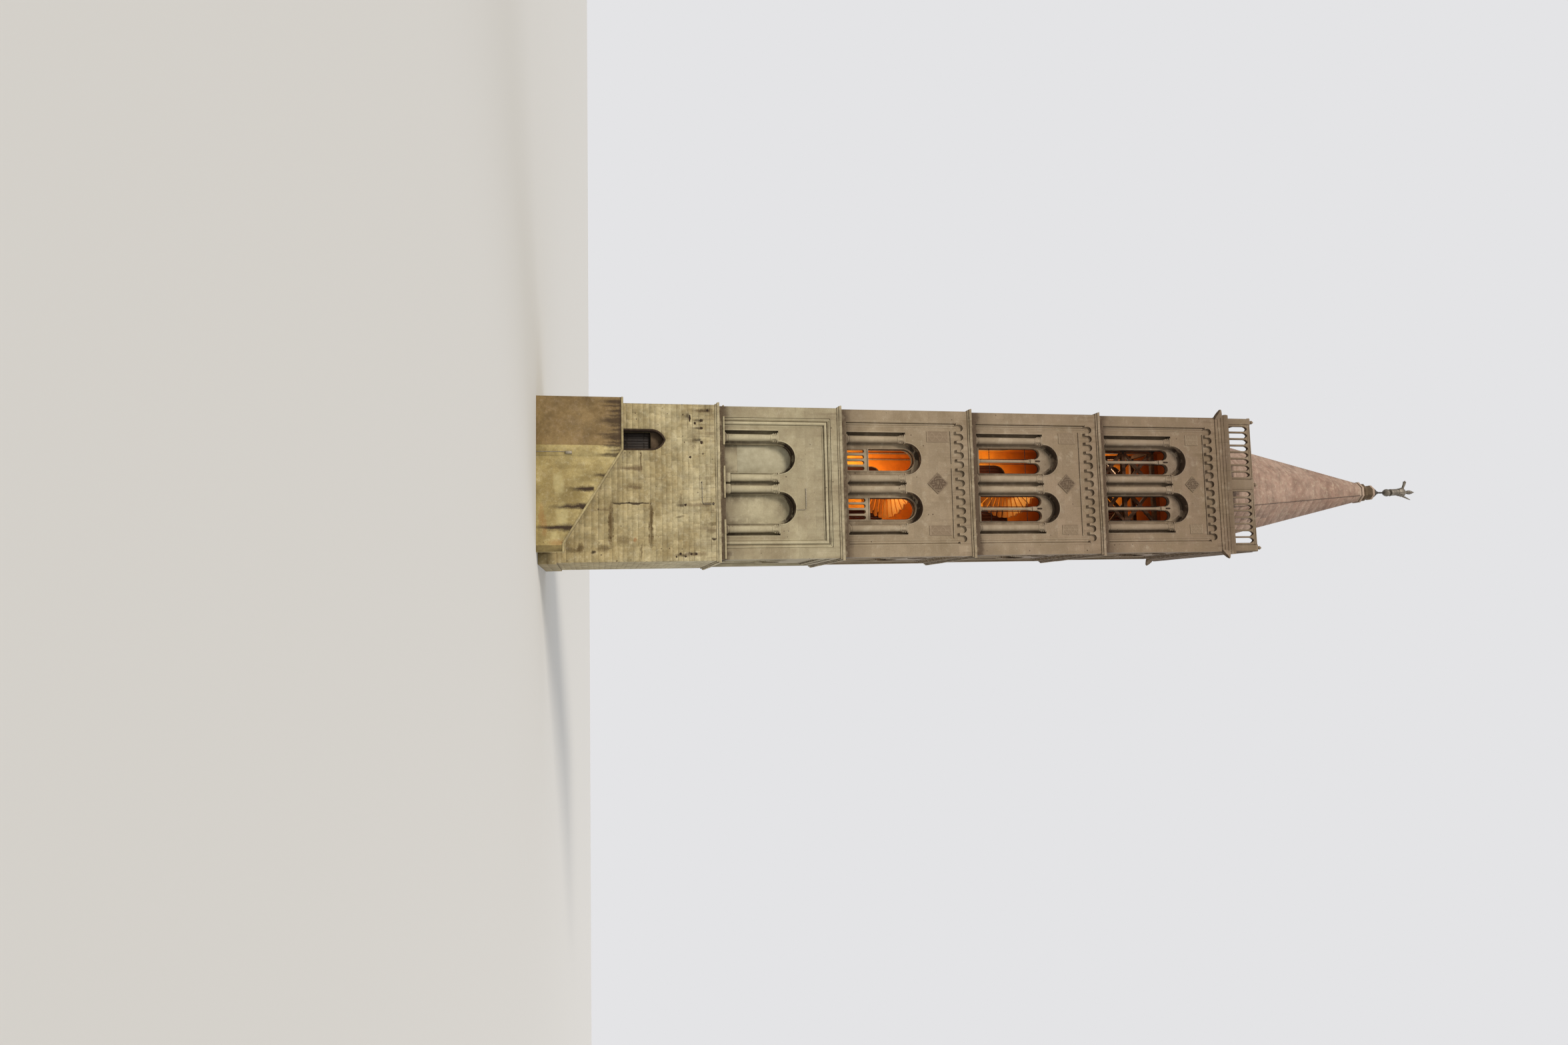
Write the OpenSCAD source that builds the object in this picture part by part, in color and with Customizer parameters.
// Square stone bell tower at half size: a plain base with an outer stair, four
// storeys of paired arches, a balustraded terrace, an eight-sided spire and a figure.
// Millimetres. Z is up, the origin is the middle of the footprint at ground level,
// and the face with the door looks along -Y.

/* [Plan] */
// Outer width of the square base storey
base_w = 4130; // [4080:10:4300]
// Inward step of each upper storey's face, on each side
storey_setback = 22; // [0:2:40]
// Thickness of the base storey's walls
base_wall_t = 700; // [660:5:760]
// Distance from the base's outer face to the inside of the upper storeys' walls
upper_wall_t = 615; // [585:5:640]

/* [Heights] */
// Height of the base storey, from the ground to the top of its cornice
base_h = 4667; // [4500:1:5200]
// Height of the first storey, cornice to cornice
storey_1_h = 3339; // [3200:1:3600]
// Height of the second storey
storey_2_h = 3750; // [3700:1:4100]
// Height of the third storey
storey_3_h = 3904; // [3850:1:4200]
// Height of the fourth storey, up to the terrace
storey_4_h = 4130; // [4080:1:4400]
// Height of the projecting plinth course
plinth_h = 465; // [300:5:600]
// How far the plinth course stands out
plinth_out = 35; // [10:1:60]

/* [Cornices] */
// Height of each cornice
cornice_h = 116; // [80:2:150]
// How far a cornice stands out from the wall below it
cornice_out = 50; // [20:1:80]
// Height of the plain course on top of each cornice
bench_h = 140; // [80:5:180]
// Height of the top cornice under the terrace
top_cornice_h = 250; // [180:5:320]
// How far the top cornice stands out
top_cornice_out = 60; // [20:1:90]

/* [Arched walls] */
// Width of the plain corner strip beside the sunk panel, measured from the base's corner
corner_strip_w = 390; // [340:5:440]
// Width of the panel beside the niche that holds the columns
jamb_strip_w = 250; // [210:5:290]
// Distance between the two outer arches
arch_gap = 486; // [460:2:520]
// Distance from the side of the niche to the outer arch
arch_side = 308; // [290:2:330]
// Width of the ring between the outer arch and a blind window of the first storey
blind_ring = 52; // [30:1:80]
// The same at the windows of the second storey
single_ring = 134; // [110:1:150]
// The same at the double windows of the third and fourth storeys
double_ring = 72; // [60:1:90]
// Height from a storey's foot to the arches' spring, first storey
spring_1 = 1603; // [1400:1:1700]
// The same in the second storey
spring_2 = 1830; // [1650:1:1900]
// The same in the third storey
spring_3 = 2155; // [2100:1:2200]
// The same in the fourth storey
spring_4 = 2300; // [2200:1:2400]
// Depth of the sunk panel
panel_depth = 62; // [20:2:90]
// Depth of the columns' niche behind the panel
niche_depth = 220; // [210:5:260]
// Height of the sunk frame in the first storey, from the storey's foot
frame_top = 2958; // [2600:1:3000]
// Extra width of the first storey's outer frame, on each side
frame_step = 75; // [40:5:100]
// Depth of that outer frame
frame_depth = 28; // [10:2:50]
// Depth of the blind windows behind the wall's face
blind_depth = 400; // [360:5:460]

/* [Little arches] */
// Number of little arches in each wall's arched band
band_arches = 13; // [9:2:15]
// Radius of a little arch
band_arch_r = 96; // [60:2:100]
// Distance from the cornice down to the tops of the little arches
band_drop = 140; // [100:5:200]
// Straight height below each little arch's spring
band_leg = 96; // [40:2:120]

/* [Columns] */
// Diameter of a wall column's shaft
column_d = 196; // [150:2:200]
// Distance between the two columns of the middle pair
column_pair = 300; // [280:2:320]
// Width of a column's square foot and cap
column_cap_w = 262; // [220:2:270]
// Height of a wall column's capital
capital_h = 250; // [180:5:300]
// Height of a wall column's foot
column_foot_h = 150; // [100:5:200]

/* [Windows] */
// Height of the second storey's window parapets, from the storey's foot
parapet_top = 815; // [700:5:900]
// Height of the foot of the parapet's slots
parapet_foot = 222; // [200:2:300]
// Width of a baluster between two slots of the parapet
parapet_bar_w = 54; // [40:2:70]
// Width of the stone beside the outermost slots
parapet_edge_w = 12; // [8:1:20]
// Thickness of a window parapet
parapet_t = 130; // [90:5:160]
// Height of the third and fourth storeys' sills, from the storey's foot
sill_top = 308; // [250:2:360]
// Width of the stone beside the small arches of a double window
light_edge_w = 8; // [6:1:14]
// Width of the block between the two small arches
impost_w = 114; // [108:2:140]
// Height of the small arches' spring below the outer arch's spring
light_drop = 160; // [120:5:200]
// Thickness of the stone head in a double window
head_t = 150; // [100:5:200]
// Height of the block between the small arches and the colonnette
impost_h = 120; // [80:5:160]
// Diameter of a colonnette
colonnette_d = 100; // [70:2:110]

/* [Door and outer stair] */
// Distance from the room's left side to the doorway
door_side = 7.5; // [2.5:2.5:150]
// Width of the door
door_w = 485; // [440:5:560]
// Height of the door's threshold above the ground
door_sill = 1650; // [1500:10:1800]
// Height of the doorway from its threshold to the arch's spring
door_h = 1220; // [1100:10:1300]
// Rise of the door's pointed arch
door_rise = 335; // [280:5:400]
// Depth of the recess inside the pointed arch
door_recess = 230; // [100:5:400]
// Depth of the door leaves behind the wall's face
door_depth = 325; // [300:5:400]
// Thickness of a door leaf
leaf_t = 30; // [20:1:36]
// Running gap round each door leaf
leaf_gap = 5; // [4:0.5:7]
// Radius of a door's hinge pin
pin_r = 7; // [5:0.5:8]
// Clearance of the hinge pin in its leaf
pin_gap = 0.3; // [0.2:0.1:0.5]
// Number of risers in the outer stair
stair_risers = 18; // [14:1:19]
// Going of each outer step
stair_going = 148; // [130:2:150]
// Distance of the landing's edge from the door, to the right
landing_side = 150; // [50:5:160]
// Clear width of the outer stair
stair_w = 600; // [450:10:700]
// Thickness of the stair's parapet wall
stair_wall_t = 130; // [90:5:160]
// Height of the parapet above the steps' edges
stair_wall_h = 438; // [350:2:500]
// Height of the low end post of the parapet
stair_post_h = 632; // [560:2:700]
// Thickness of the sloping coping
coping_t = 40; // [25:5:60]
// Overhang of the coping
coping_out = 20; // [5:5:40]

/* [Winding stair] */
// Radius of the winding stair
winder_r = 700; // [600:10:760]
// Radius of its middle post
newel_r = 85; // [60:5:110]
// Steps in one turn
winder_turn = 24; // [20:2:28]
// Thickness of each winding step
winder_t = 74; // [40:2:80]
// Distance of the middle post to the right of the tower's middle
newel_x = 30; // [0:5:100]
// Distance of the middle post behind the tower's middle
newel_y = 400; // [300:10:450]
// Clearance between the winding stair and the floors round it
winder_gap = 30; // [20:5:60]
// Height of the middle post above the fourth storey's floor
newel_over = 900; // [600:10:1000]

/* [Floors and bell frame] */
// Thickness of the floors
floor_t = 125; // [80:5:180]
// Thickness of the ground floor
ground_floor_t = 120; // [80:5:180]
// Width of a beam in the bell frame
beam_w = 110; // [100:5:140]
// Width of a slanting brace in the bell frame
brace_w = 84; // [60:2:90]
// Clearance between the bell frame and the room's left and right sides
frame_side_gap = 335; // [150:5:400]
// Clearance between the bell frame and the room's front
frame_front_gap = 170; // [100:5:240]
// Distance between the frame's two sides
frame_gap = 1100; // [900:10:1110]
// Height of one tier of the bell frame
tier_h = 940; // [800:10:1050]

/* [Terrace] */
// Thickness of the terrace slab
terrace_t = 150; // [100:5:200]
// Height of the balustrade above the terrace
rail_h = 740; // [600:10:800]
// Thickness of the balustrade
rail_t = 90; // [60:5:110]
// Distance of the balustrade's outer face from the terrace's edge
rail_inset = 62; // [30:2:100]
// Side of a corner post of the balustrade
post_w = 200; // [150:5:230]
// Width of a middle post of the balustrade
middle_post_w = 330; // [250:10:380]
// Openings in each half of a balustrade side
rail_holes = 8; // [5:1:9]
// Width of the stone between two openings
rail_bar_w = 46; // [30:2:60]
// Length of a rain spout beyond the corner
spout_l = 200; // [150:10:300]
// Depth of a rain spout's top below the terrace slab
spout_drop = 100; // [60:5:120]

/* [Spire] */
// Width of the spire's foot across its flats
spire_w = 3150; // [2800:10:3200]
// Width of the spire's top across its flats
spire_top_w = 610; // [500:10:640]
// Height of the spire
spire_h = 5880; // [5500:10:6200]
// Thickness of the spire's shell
spire_t = 150; // [100:5:200]
// Height of solid stone at the spire's top
spire_solid_h = 700; // [400:10:900]
// Height of the mortar joint under the spire's collar
collar_joint = 0.3; // [0.1:0.1:1]
// Radius of the ball
ball_r = 122; // [90:2:140]
// Height of the figure
figure_h = 925; // [800:5:1000]

/* [Hidden] */

base_half = base_w / 2;
base_room = base_half - base_wall_t;
room = base_half - upper_wall_t;
big = 20000;
nip = 1;

// Half widths of the sunk panel and of the niche, and the windows' places and widths
panel_half = base_half - corner_strip_w;
niche_half = panel_half - jamb_strip_w;
arch_r = (niche_half - arch_side - arch_gap / 2) / 2;
window_x = arch_gap / 2 + arch_r;
blind_w = 2 * (arch_r - blind_ring);
single_w = 2 * (arch_r - single_ring);
double_w = 2 * (arch_r - double_ring);

// Storey 0 is the base. Each list is read by storey number.
heights = [base_h, storey_1_h, storey_2_h, storey_3_h, storey_4_h];
springs = [0, spring_1, spring_2, spring_3, spring_4];
opening_widths = [0, blind_w, single_w, double_w, double_w];
function foot(n) = n == 0 ? 0 : foot(n - 1) + heights[n - 1];
function half_w(n) = base_half - n * storey_setback;
function spring_z(n) = foot(n) + springs[n];
function wall_top(n) = foot(n + 1) - (n == 4 ? top_cornice_h + terrace_t : cornice_h);
function bench_top(n) = foot(n) + bench_h;
// Distance from a wall's face back to the plane behind its columns
niche_back = panel_depth + niche_depth;
terrace_z = foot(5);
terrace_half = half_w(4);

stone = "#b5a68b";
pale_stone = "#c4b598";
dark_stone = "#94866f";
spire_stone = "#b9a18c";

// Runs its children on all four sides of the tower
module four_sides() {
    for (turn = [0:3])
        rotate([0, 0, 90 * turn])
            children();
}

// A block between two corners
module block(low, high) {
    translate(low)
        cube(high - low);
}

// A square ring with its outer and inner half widths
module ring(outer, inner, z, h) {
    difference() {
        block([-outer, -outer, z], [outer, outer, z + h]);
        block([-inner, -inner, z - nip], [inner, inner, z + h + nip]);
    }
}

// Stands an outline drawn in X and Z on the wall at -Y: from y_front back to y_back
module on_wall(y_front, y_back) {
    translate([0, y_back, 0])
        rotate([90, 0, 0])
            linear_extrude(y_back - y_front)
                children();
}

// An arched outline about x, from the foot up to a half circle on the spring line
module arch_outline(x, width, foot_z, spring) {
    translate([x - width / 2, foot_z])
        square([width, spring - foot_z]);
    translate([x, spring])
        intersection() {
            circle(width / 2, $fn = 96);
            translate([-width / 2, -nip])
                square([width, width / 2 + 2 * nip]);
        }
}

// Base storey

// A pointed arch: two arcs with their centres on the spring line
module pointed_outline(half, rise) {
    arc_r = (half * half + rise * rise) / (2 * half);
    intersection() {
        translate([half - arc_r, 0])
            circle(arc_r, $fn = 96);
        translate([arc_r - half, 0])
            circle(arc_r, $fn = 96);
        translate([-half, 0])
            square([2 * half, rise + nip]);
    }
    translate([-half, -nip])
        square([2 * half, 2 * nip]);
}

door_left = -base_room + door_side;
door_right = door_left + door_w;
door_x = -(door_left + door_right) / 2;
door_spring = door_sill + door_h;
base_top = base_h - cornice_h;

module base_front_low() {
    color(pale_stone) {
        block([-base_half, -base_half, 0], [base_half, -base_room, door_sill]);
        block([min(stair_end_x, base_half), -base_half - plinth_out, 0],
              [base_half + plinth_out, -base_room, plinth_h]);
        block([-base_half - plinth_out, -base_half, 0], [-base_room, -base_room, plinth_h]);
    }
}

module base_front_left() {
    color(pale_stone)
        block([-base_half, -base_half, door_sill], [door_left, -base_room, door_spring]);
}

module base_front_right() {
    color(pale_stone)
        block([door_right, -base_half, door_sill], [base_half, -base_room, door_spring]);
}

module base_front_upper() {
    color(pale_stone)
        difference() {
            block([-base_half, -base_half, door_spring], [base_half, -base_room, base_top]);
            on_wall(-base_half - nip, -base_half + door_recess)
                translate([-door_x, door_spring])
                    pointed_outline(door_w / 2, door_rise);
        }
}

module base_left_wall() {
    color(stone) {
        block([-base_half, -base_room, 0], [-base_room, base_room, base_top]);
        block([-base_half - plinth_out, -base_room, 0], [-base_room, base_room, plinth_h]);
    }
}

module base_right_wall() {
    color(stone)
        mirror([1, 0, 0])
            base_left_wall();
}

module base_back_wall() {
    color(stone) {
        block([-base_half, base_room, 0], [base_half, base_half, base_top]);
        block([-base_half - plinth_out, base_room, 0],
              [base_half + plinth_out, base_half + plinth_out, plinth_h]);
    }
}

// Door: two leaves that open inwards, each round a pin from threshold to lintel

door_y = -base_half + door_depth;
pin_x = door_w / 2 - leaf_gap - leaf_t / 2;

// The leaf whose hinge is on the left, about the doorway's middle
module door_leaf() {
    low = door_sill + leaf_gap;
    h = door_h - 2 * leaf_gap;
    translate([0, door_y, low])
        difference() {
            union() {
                translate([-pin_x, -leaf_t / 2, 0])
                    cube([pin_x - leaf_gap / 2, leaf_t, h]);
                translate([-pin_x, 0, 0])
                    cylinder(h, r = leaf_t / 2, $fn = 48);
            }
            translate([-pin_x, 0, -nip])
                cylinder(h + 2 * nip, r = pin_r + pin_gap, $fn = 48);
        }
}

module door_leaf_left() {
    color("#3b3029")
        translate([-door_x, 0, 0])
            door_leaf();
}

module door_leaf_right() {
    color("#3b3029")
        translate([-door_x, 0, 0])
            mirror([1, 0, 0])
                door_leaf();
}

module door_pins() {
    color("#2e2c2a")
        for (side = [-1, 1])
            translate([-door_x + side * pin_x, door_y, door_sill])
                cylinder(door_h, r = pin_r, $fn = 48);
}

// Outer stair

stair_rise = door_sill / stair_risers;
landing_x = door_right + landing_side;
stair_foot_x = landing_x + (stair_risers - 1) * stair_going;
stair_end_x = stair_foot_x + 45;
stair_front = -base_half - stair_w;
stair_slope = stair_rise / stair_going;
// Height of the line through the steps' edges
function nosing_z(x) = door_sill - (x - landing_x) * stair_slope;
// Where the sloping parapet meets its low end post
post_x = landing_x + (door_sill + stair_wall_h - stair_post_h) / stair_slope;
landing_wall_top = door_sill + stair_wall_h;

module outer_stair() {
    color(stone)
        translate([0, -base_half, 0])
            rotate([90, 0, 0])
                linear_extrude(stair_w)
                    polygon(concat(
                        [[-base_half, 0], [-base_half, landing_wall_top],
                         [-base_half + stair_wall_t, landing_wall_top],
                         [-base_half + stair_wall_t, door_sill], [landing_x, door_sill]],
                        [for (i = [1:stair_risers - 1], k = [0, 1])
                            [landing_x + (i - 1 + k) * stair_going, door_sill - i * stair_rise]],
                        [[stair_foot_x, 0]]
                    ));
}

// Outline of the parapet between x_left and x_right, under a given lift
module parapet_outline(lift) {
    polygon([
        [-base_half, 0], [-base_half, landing_wall_top + lift],
        [landing_x, landing_wall_top + lift], [post_x, stair_post_h + lift],
        [stair_end_x, stair_post_h + lift], [stair_end_x, 0]
    ]);
}

module stair_parapet() {
    color(pale_stone)
        on_wall(stair_front - stair_wall_t, stair_front)
            parapet_outline(0);
}

module stair_coping() {
    color(stone) {
        on_wall(stair_front - stair_wall_t - coping_out, stair_front + coping_out)
            difference() {
                parapet_outline(coping_t);
                parapet_outline(0);
            }
        block([-base_half, stair_front + coping_out, landing_wall_top],
              [-base_half + stair_wall_t + coping_out, -base_half, landing_wall_top + coping_t]);
    }
}

// Cornices between the storeys, each with the plain course that lies on it

module cornices() {
    color(stone)
        for (n = [0:3]) {
            ring(half_w(n) + cornice_out * 0.45, room, wall_top(n), cornice_h);
            ring(half_w(n) + cornice_out, room, wall_top(n) + cornice_h * 0.45,
                 cornice_h * 0.55);
            ring(half_w(n + 1), room, foot(n + 1), bench_h);
        }
}

// Upper storeys

// Plan of one corner pier, in the quarter where x and y are positive
module corner_pier_plan(n) {
    face = half_w(n);
    opening = window_x + opening_widths[n] / 2;
    polygon([
        [face, face], [panel_half, face], [panel_half, face - panel_depth],
        [niche_half, face - panel_depth], [niche_half, face - niche_back],
        [opening, face - niche_back], [opening, room], [room, room], [room, opening],
        [face - niche_back, opening], [face - niche_back, niche_half],
        [face - panel_depth, niche_half], [face - panel_depth, panel_half],
        [face, panel_half]
    ]);
}

// The outer frame of the first storey: a shallow step round the sunk panel
module frame_cut(n) {
    if (n == 1) {
        half = panel_half + frame_step;
        face = half_w(n);
        four_sides()
            block([-half, -face - nip, foot(n)],
                  [half, -face + frame_depth, foot(n) + frame_top + frame_step]);
    }
}

module corner_piers(n) {
    color(stone)
        difference() {
            four_sides()
                translate([0, 0, bench_top(n)])
                    linear_extrude(spring_z(n) - bench_top(n))
                        corner_pier_plan(n);
            frame_cut(n);
        }
}

module middle_piers(n) {
    half = window_x - opening_widths[n] / 2;
    color(stone)
        four_sides()
            block([-half, -half_w(n) + niche_back, bench_top(n)], [half, -room, spring_z(n)]);
}

// Outline of a sunk panel. Above the first storey it ends in the little arches.
module panel_outline(n) {
    low = spring_z(n) - nip;
    pitch = 2 * panel_half / band_arches;
    band_spring = wall_top(n) - band_drop - band_arch_r;
    high = n == 1 ? foot(n) + frame_top : band_spring - band_leg;
    translate([-panel_half, low])
        square([2 * panel_half, high - low]);
    if (n > 1)
        for (i = [0:band_arches - 1])
            arch_outline((i - (band_arches - 1) / 2) * pitch, 2 * band_arch_r,
                         high - nip, band_spring);
}

// All four walls above the spring line, with their panels and arches cut
module arch_ring(n) {
    face = half_w(n);
    spring = spring_z(n);
    difference() {
        ring(face, room, spring, wall_top(n) - spring);
        frame_cut(n);
        four_sides() {
            on_wall(-face - nip, -face + panel_depth)
                panel_outline(n);
            for (side = [-1, 1]) {
                on_wall(-face - nip, -face + niche_back)
                    arch_outline(side * window_x, 2 * arch_r, spring - nip, spring);
                on_wall(-face - nip, -room + nip)
                    arch_outline(side * window_x, opening_widths[n], spring - nip, spring);
            }
        }
    }
}

module front_back_arches(n) {
    color(stone)
        intersection() {
            arch_ring(n);
            for (side = [-1, 1])
                translate([0, side * (room + big / 2), 0])
                    cube([big, big, 4 * big], center = true);
        }
}

module side_arches(n) {
    color(stone)
        intersection() {
            arch_ring(n);
            cube([big, 2 * room, 4 * big], center = true);
        }
}

// One wall column: square foot, round base, shaft, bell-shaped capital and square cap
module wall_column(h) {
    slab_h = capital_h * 0.28;
    r = column_d / 2;
    wide = column_cap_w / 2 - 8;
    foot_slab = column_foot_h * 0.35;
    translate([-column_cap_w / 2, -niche_depth / 2, 0])
        cube([column_cap_w, niche_depth, foot_slab]);
    translate([-column_cap_w / 2, -niche_depth / 2, h - slab_h])
        cube([column_cap_w, niche_depth, slab_h]);
    rotate_extrude($fn = 48)
        polygon([
            [0, foot_slab - nip], [niche_depth / 2 - 2, foot_slab - nip],
            [niche_depth / 2 - 2, column_foot_h * 0.7], [r, column_foot_h],
            [r * 0.94, h - capital_h], [niche_depth / 2 - 2, h - slab_h + nip],
            [0, h - slab_h + nip]
        ]);
}

module wall_columns() {
    outer_x = niche_half - column_cap_w / 2 - 60;
    color(pale_stone)
        for (n = [1:4])
            four_sides()
                for (side = [-1, 1], x = [column_pair / 2, outer_x])
                    translate([side * x, -half_w(n) + panel_depth + niche_depth / 2,
                               bench_top(n)])
                        wall_column(spring_z(n) - bench_top(n));
}

// Walling set back in the blind windows of the first storey
module blind_panels() {
    color(pale_stone)
        four_sides()
            for (side = [-1, 1])
                on_wall(-half_w(1) + blind_depth, -room)
                    arch_outline(side * window_x, blind_w, bench_top(1), spring_z(1));
}

// Parapets in the second storey's windows: a rail on balusters over a plain foot
module window_parapets() {
    slot_w = (single_w - 2 * parapet_edge_w - 3 * parapet_bar_w) / 4;
    pitch = slot_w + parapet_bar_w;
    top = foot(2) + parapet_top;
    rail = 110;
    y = -half_w(2) + niche_back;
    color(pale_stone)
        four_sides()
            for (side = [-1, 1])
                on_wall(y, y + parapet_t)
                    difference() {
                        translate([side * window_x - single_w / 2, bench_top(2)])
                            square([single_w, top - bench_top(2)]);
                        for (i = [-1.5:1.5])
                            arch_outline(side * window_x + i * pitch, slot_w,
                                         foot(2) + parapet_foot, top - rail - slot_w / 2);
                    }
}

// Plain sills under the double windows
module window_sills() {
    color(pale_stone)
        for (n = [3, 4])
            four_sides()
                for (side = [-1, 1])
                    block([side * window_x - double_w / 2, -half_w(n) + niche_back,
                           bench_top(n)],
                          [side * window_x + double_w / 2, -room, foot(n) + sill_top]);
}

// Radius of each small arch, and its distance from the window's middle
light_r = (double_w / 2 - light_edge_w - impost_w / 2) / 2;
light_x = light_r + impost_w / 2;

// Stone head of a double window: the arch filled above two small arches
module head_outline(spring) {
    low = spring - light_drop;
    difference() {
        intersection() {
            arch_outline(0, double_w, low, spring);
            translate([-double_w / 2, low])
                square([double_w, double_w]);
        }
        for (side = [-1, 1])
            translate([side * light_x, low])
                circle(light_r, $fn = 64);
    }
    translate([-impost_w / 2, low - impost_h])
        square([impost_w, impost_h + nip]);
}

module window_heads() {
    color(stone)
        for (n = [3, 4])
            four_sides()
                for (side = [-1, 1])
                    on_wall(-half_w(n) + niche_back, -half_w(n) + niche_back + head_t)
                        translate([side * window_x, 0])
                            head_outline(spring_z(n));
}

module colonnettes() {
    color(pale_stone)
        for (n = [3, 4]) {
            h = springs[n] - light_drop - impost_h - sill_top;
            four_sides()
                for (side = [-1, 1])
                    translate([side * window_x, -half_w(n) + niche_back + head_t / 2,
                               foot(n) + sill_top]) {
                        translate([-impost_w / 2, -impost_w / 2, 0])
                            cube([impost_w, impost_w, 40]);
                        cylinder(h, d = colonnette_d, $fn = 48);
                        translate([0, 0, h - 130])
                            cylinder(130, colonnette_d / 2, impost_w / 2 - 4, $fn = 48);
                    }
        }
}

// Inside

function floor_z(n) = bench_top(n) - floor_t;

// The stair hole ends in line with the middle post, where each flight ends and the next begins
module floor_slab(n, stair_hole) {
    low = floor_z(n) - nip;
    high = bench_top(n) + nip;
    side = winder_r + winder_gap;
    post = newel_r + winder_gap;
    difference() {
        block([-room, -room, floor_z(n)], [room, room, bench_top(n)]);
        if (stair_hole) {
            block([newel_x - side, newel_y - side, low], [newel_x, newel_y + side, high]);
            block([newel_x - nip, newel_y - post, low], [newel_x + post, newel_y + post, high]);
        }
    }
}

module floors() {
    color(dark_stone) {
        block([-base_room, -base_room, 0], [base_room, base_room, ground_floor_t]);
        block([-base_room, -base_room, door_sill - floor_t], [base_room, base_room, door_sill]);
        floor_slab(2, false);
        floor_slab(3, true);
        floor_slab(4, true);
    }
}

// A flight from one storey's floor to the next takes a turn and a half, clockwise from the front to the back
flight_steps = winder_turn * 1.5;
step_angle = 360 / winder_turn;

module flight(n) {
    rise = (bench_top(n + 1) - bench_top(n)) / (flight_steps + 1);
    for (i = [1:flight_steps])
        translate([newel_x, newel_y, bench_top(n) + round(i * rise) - winder_t])
            rotate([0, 0, 270 - i * step_angle])
                rotate_extrude(angle = step_angle, $fn = 96)
                    translate([newel_r, 0])
                        square([winder_r - newel_r, winder_t]);
}

module winding_stair() {
    color(dark_stone)
        for (n = [2, 3])
            flight(n);
}

module stair_newel() {
    color(dark_stone)
        translate([newel_x, newel_y, bench_top(2)])
            cylinder(bench_top(4) - bench_top(2) + newel_over, r = newel_r, $fn = 64);
}

// Timber frame for the bells: two trussed sides, two tiers high, tied together
frame_half_w = room - frame_side_gap - beam_w / 2;
frame_front = room - frame_front_gap - beam_w / 2;

module brace(from, to) {
    run = to - from;
    translate(from)
        rotate([0, atan2(norm([run[0], run[1]]), run[2]), atan2(run[1], run[0])])
            translate([-brace_w / 2, -brace_w / 2, 0])
                cube([brace_w, brace_w, norm(run)]);
}

module trussed_side(y) {
    z0 = bench_top(4);
    w = frame_half_w;
    half = beam_w / 2;
    for (x = [-w, 0, w])
        block([x - half, y - half, z0], [x + half, y + half, z0 + 2 * tier_h + beam_w]);
    for (tier = [0:2])
        block([-w - half, y - half, z0 + tier * tier_h],
              [w + half, y + half, z0 + tier * tier_h + beam_w]);
    for (tier = [0, 1], side = [-1, 1]) {
        low = z0 + tier * tier_h + half;
        high = low + tier_h;
        brace([0, y, low], [side * w, y, high]);
        brace([side * w, y, low], [0, y, high]);
    }
}

module bell_frame() {
    z0 = bench_top(4);
    half = beam_w / 2;
    color("#6b5138") {
        for (y = [-frame_front, frame_gap - frame_front])
            trussed_side(y);
        for (x = [-frame_half_w, 0, frame_half_w], tier = [0, 2])
            block([x - half, -frame_front, z0 + tier * tier_h],
                  [x + half, frame_gap - frame_front, z0 + tier * tier_h + beam_w]);
    }
}

// Terrace

// One of three steps of the top cornice, each as high as the slab above it allows
module cornice_step(step) {
    low = wall_top(4) + round((step - 1) * top_cornice_h / 3);
    ring(terrace_half + top_cornice_out * step / 3, room, low,
         terrace_z - terrace_t - low);
}

module top_cornice() {
    color(stone)
        for (step = [1:3])
            cornice_step(step);
}

module terrace() {
    half = terrace_half + top_cornice_out;
    color(stone)
        block([-half, -half, terrace_z - terrace_t], [half, half, terrace_z]);
}

rail_face = terrace_half + top_cornice_out - rail_inset;
panel_from = middle_post_w / 2;
panel_to = rail_face - post_w;

// One half side of the balustrade: an arcade of thin shafts under a rail
module balustrade_panels() {
    length = panel_to - panel_from;
    pitch = (length - rail_bar_w) / rail_holes;
    hole = pitch - rail_bar_w;
    low = terrace_z + 60;
    rise = hole * 0.8;
    spring = terrace_z + rail_h - 80 - rise;
    color(pale_stone)
        four_sides()
            for (side = [0, 1])
                mirror([side, 0, 0])
                    on_wall(-rail_face, -rail_face + rail_t)
                        difference() {
                            translate([panel_from, terrace_z])
                                square([length, rail_h]);
                            for (i = [0:rail_holes - 1])
                                translate([panel_from + rail_bar_w + i * pitch + hole / 2, 0]) {
                                    translate([-hole / 2, low])
                                        square([hole, spring - low]);
                                    translate([0, spring])
                                        pointed_outline(hole / 2, rise);
                                }
                        }
}

// A square post with a low cap, a neck and a ball
module balustrade_post(w) {
    translate([-w / 2, -post_w / 2, 0])
        cube([w, post_w, rail_h + 30]);
    translate([0, 0, rail_h + 30])
        cylinder(90, d1 = post_w * 0.6, d2 = post_w * 0.3, $fn = 32);
    translate([0, 0, rail_h + 150])
        sphere(d = post_w * 0.52, $fn = 32);
}

module balustrade_posts() {
    centre = rail_face - post_w / 2;
    color(stone)
        four_sides() {
            translate([0, -centre, terrace_z])
                balustrade_post(middle_post_w);
            translate([centre, -centre, terrace_z])
                balustrade_post(post_w);
        }
}

// Rain spouts that lean out from the four corners of the top cornice
module rain_spouts() {
    corner = terrace_half + top_cornice_out;
    size = 120;
    low = terrace_z - terrace_t - spout_drop - size;
    color(dark_stone)
        difference() {
            four_sides()
                translate([corner, -corner, low])
                    rotate([0, 0, -45])
                        translate([-size, -size / 2, 0]) {
                            cube([size + spout_l * 0.6, size, size]);
                            translate([size + spout_l * 0.5, size * 0.1, size * 0.2])
                                cube([spout_l * 0.5, size * 0.8, size * 0.8]);
                        }
            for (step = [1:3])
                cornice_step(step);
        }
}

// Spire

// Radius to the corners of an eight-sided plan, from its width across the flats
function corner_r(across) = across / 2 / cos(22.5);

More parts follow.
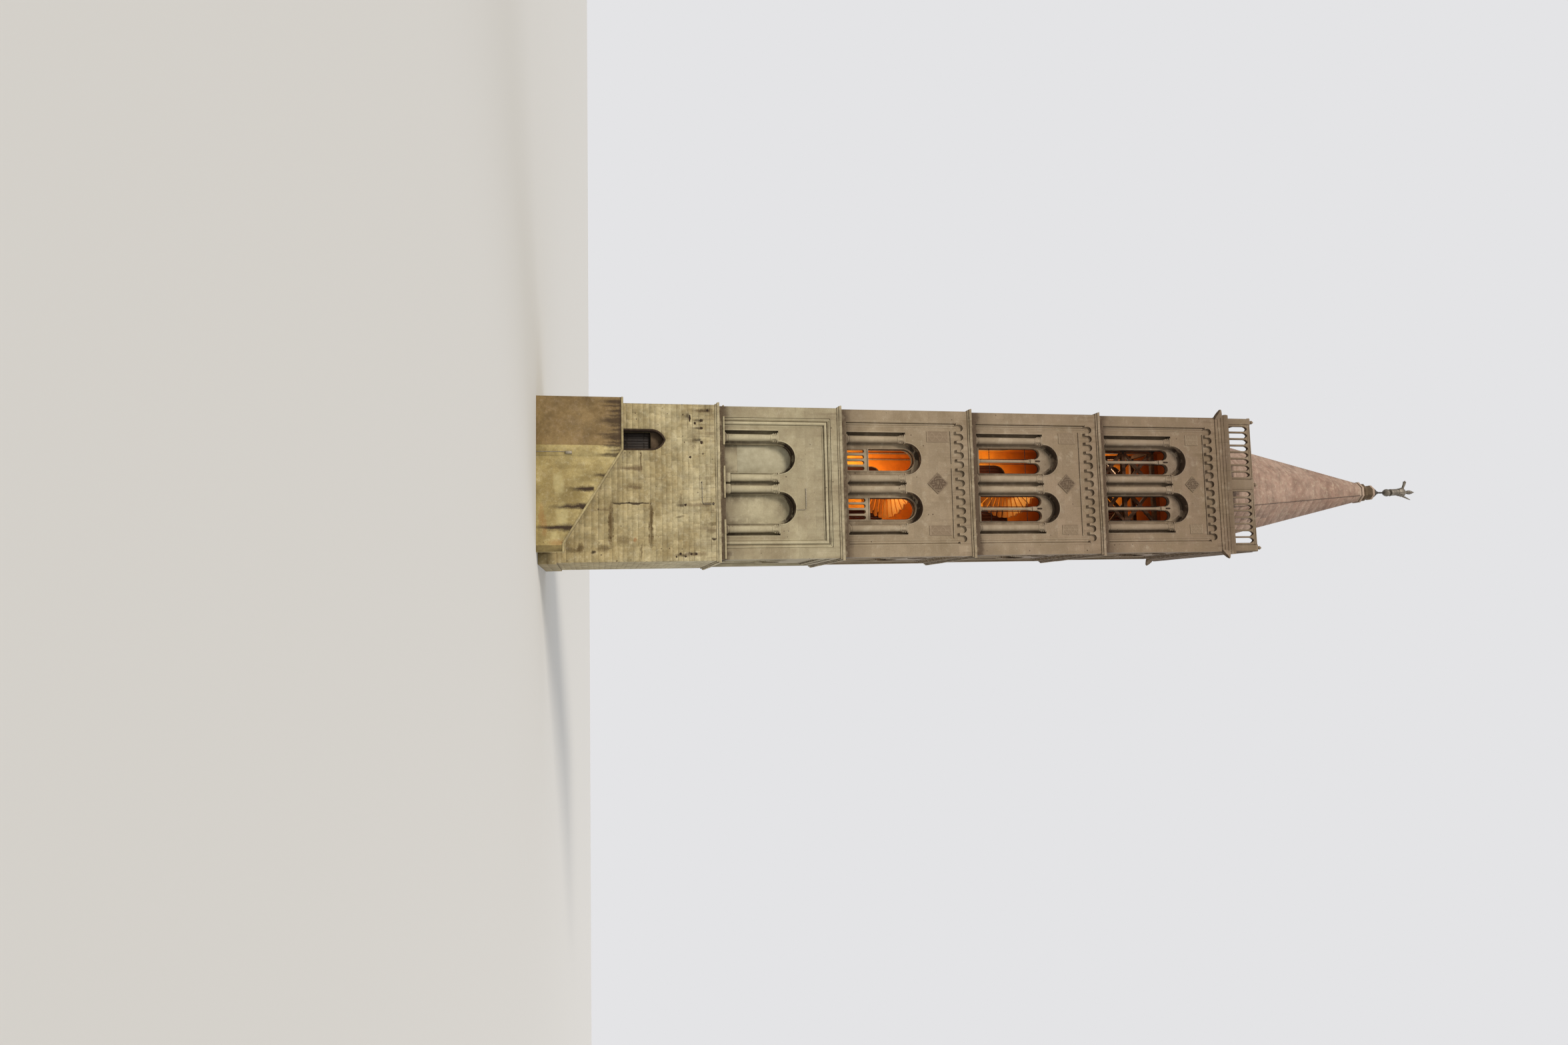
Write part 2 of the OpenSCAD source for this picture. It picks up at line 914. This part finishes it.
module eight_sided(h, across_1, across_2) {
    rotate([0, 0, 22.5])
        cylinder(h, corner_r(across_1), corner_r(across_2), $fn = 8);
}

spire_top = terrace_z + spire_h;
collar_z = spire_top + collar_joint;

module spire() {
    hollow_top_w = spire_top_w - 2 * spire_t
                   + (spire_w - spire_top_w) * spire_solid_h / spire_h;
    color(spire_stone)
        difference() {
            translate([0, 0, terrace_z])
                eight_sided(spire_h, spire_w, spire_top_w);
            translate([0, 0, terrace_z - nip])
                eight_sided(spire_h - spire_solid_h, spire_w - 2 * spire_t, hollow_top_w);
        }
}

collar_h = 225;
neck_h = 330;
upper_collar_h = 180;
cap_h = 160;
spindle_h = 260;
ball_z = collar_z + collar_h + neck_h + upper_collar_h + cap_h + spindle_h + ball_r;

module spire_finial() {
    neck_z = collar_z + collar_h;
    upper_z = neck_z + neck_h;
    cap_z = upper_z + upper_collar_h;
    color(spire_stone) {
        translate([0, 0, collar_z])
            eight_sided(collar_h, spire_top_w + 50, spire_top_w + 50);
        translate([0, 0, neck_z])
            eight_sided(neck_h, spire_top_w * 0.78, spire_top_w * 0.78);
        translate([0, 0, upper_z])
            eight_sided(upper_collar_h, spire_top_w * 0.8, spire_top_w * 0.8);
        translate([0, 0, cap_z])
            cylinder(cap_h, d1 = spire_top_w * 0.6, d2 = 90, $fn = 48);
        translate([0, 0, cap_z])
            cylinder(cap_h + spindle_h + ball_r, r = 28, $fn = 32);
        translate([0, 0, ball_z])
            sphere(ball_r, $fn = 48);
        translate([0, 0, ball_z])
            cylinder(ball_r + 10, r = 45, $fn = 32);
    }
}

// A robed figure with one arm raised and one held out, and folded wings
module figure() {
    h = figure_h;
    foot_z = ball_z + ball_r + 10;
    color("#7d7468")
        translate([0, 0, foot_z]) {
            rotate_extrude($fn = 48)
                polygon([
                    [0, 0], [h * 0.13, 0], [h * 0.14, h * 0.2], [h * 0.09, h * 0.5],
                    [h * 0.11, h * 0.72], [h * 0.04, h * 0.8], [0, h * 0.8]
                ]);
            translate([0, 0, h * 0.89])
                sphere(h * 0.085, $fn = 32);
            cylinder(h * 0.85, r = h * 0.035, $fn = 24);
            translate([0, 0, h * 0.68])
                rotate([0, 55, 0])
                    cylinder(h * 0.38, r = h * 0.035, $fn = 24);
            translate([0, 0, h * 0.68])
                rotate([0, -95, 0])
                    cylinder(h * 0.36, r = h * 0.035, $fn = 24);
        }
}

base_front_low();
base_front_left();
base_front_right();
base_front_upper();
base_left_wall();
base_right_wall();
base_back_wall();
door_leaf_left();
door_leaf_right();
door_pins();
outer_stair();
stair_parapet();
stair_coping();
cornices();
for (n = [1:4]) {
    corner_piers(n);
    middle_piers(n);
    front_back_arches(n);
    side_arches(n);
}
wall_columns();
blind_panels();
window_parapets();
window_sills();
window_heads();
colonnettes();
floors();
winding_stair();
stair_newel();
bell_frame();
top_cornice();
terrace();
balustrade_panels();
balustrade_posts();
rain_spouts();
spire();
spire_finial();
figure();
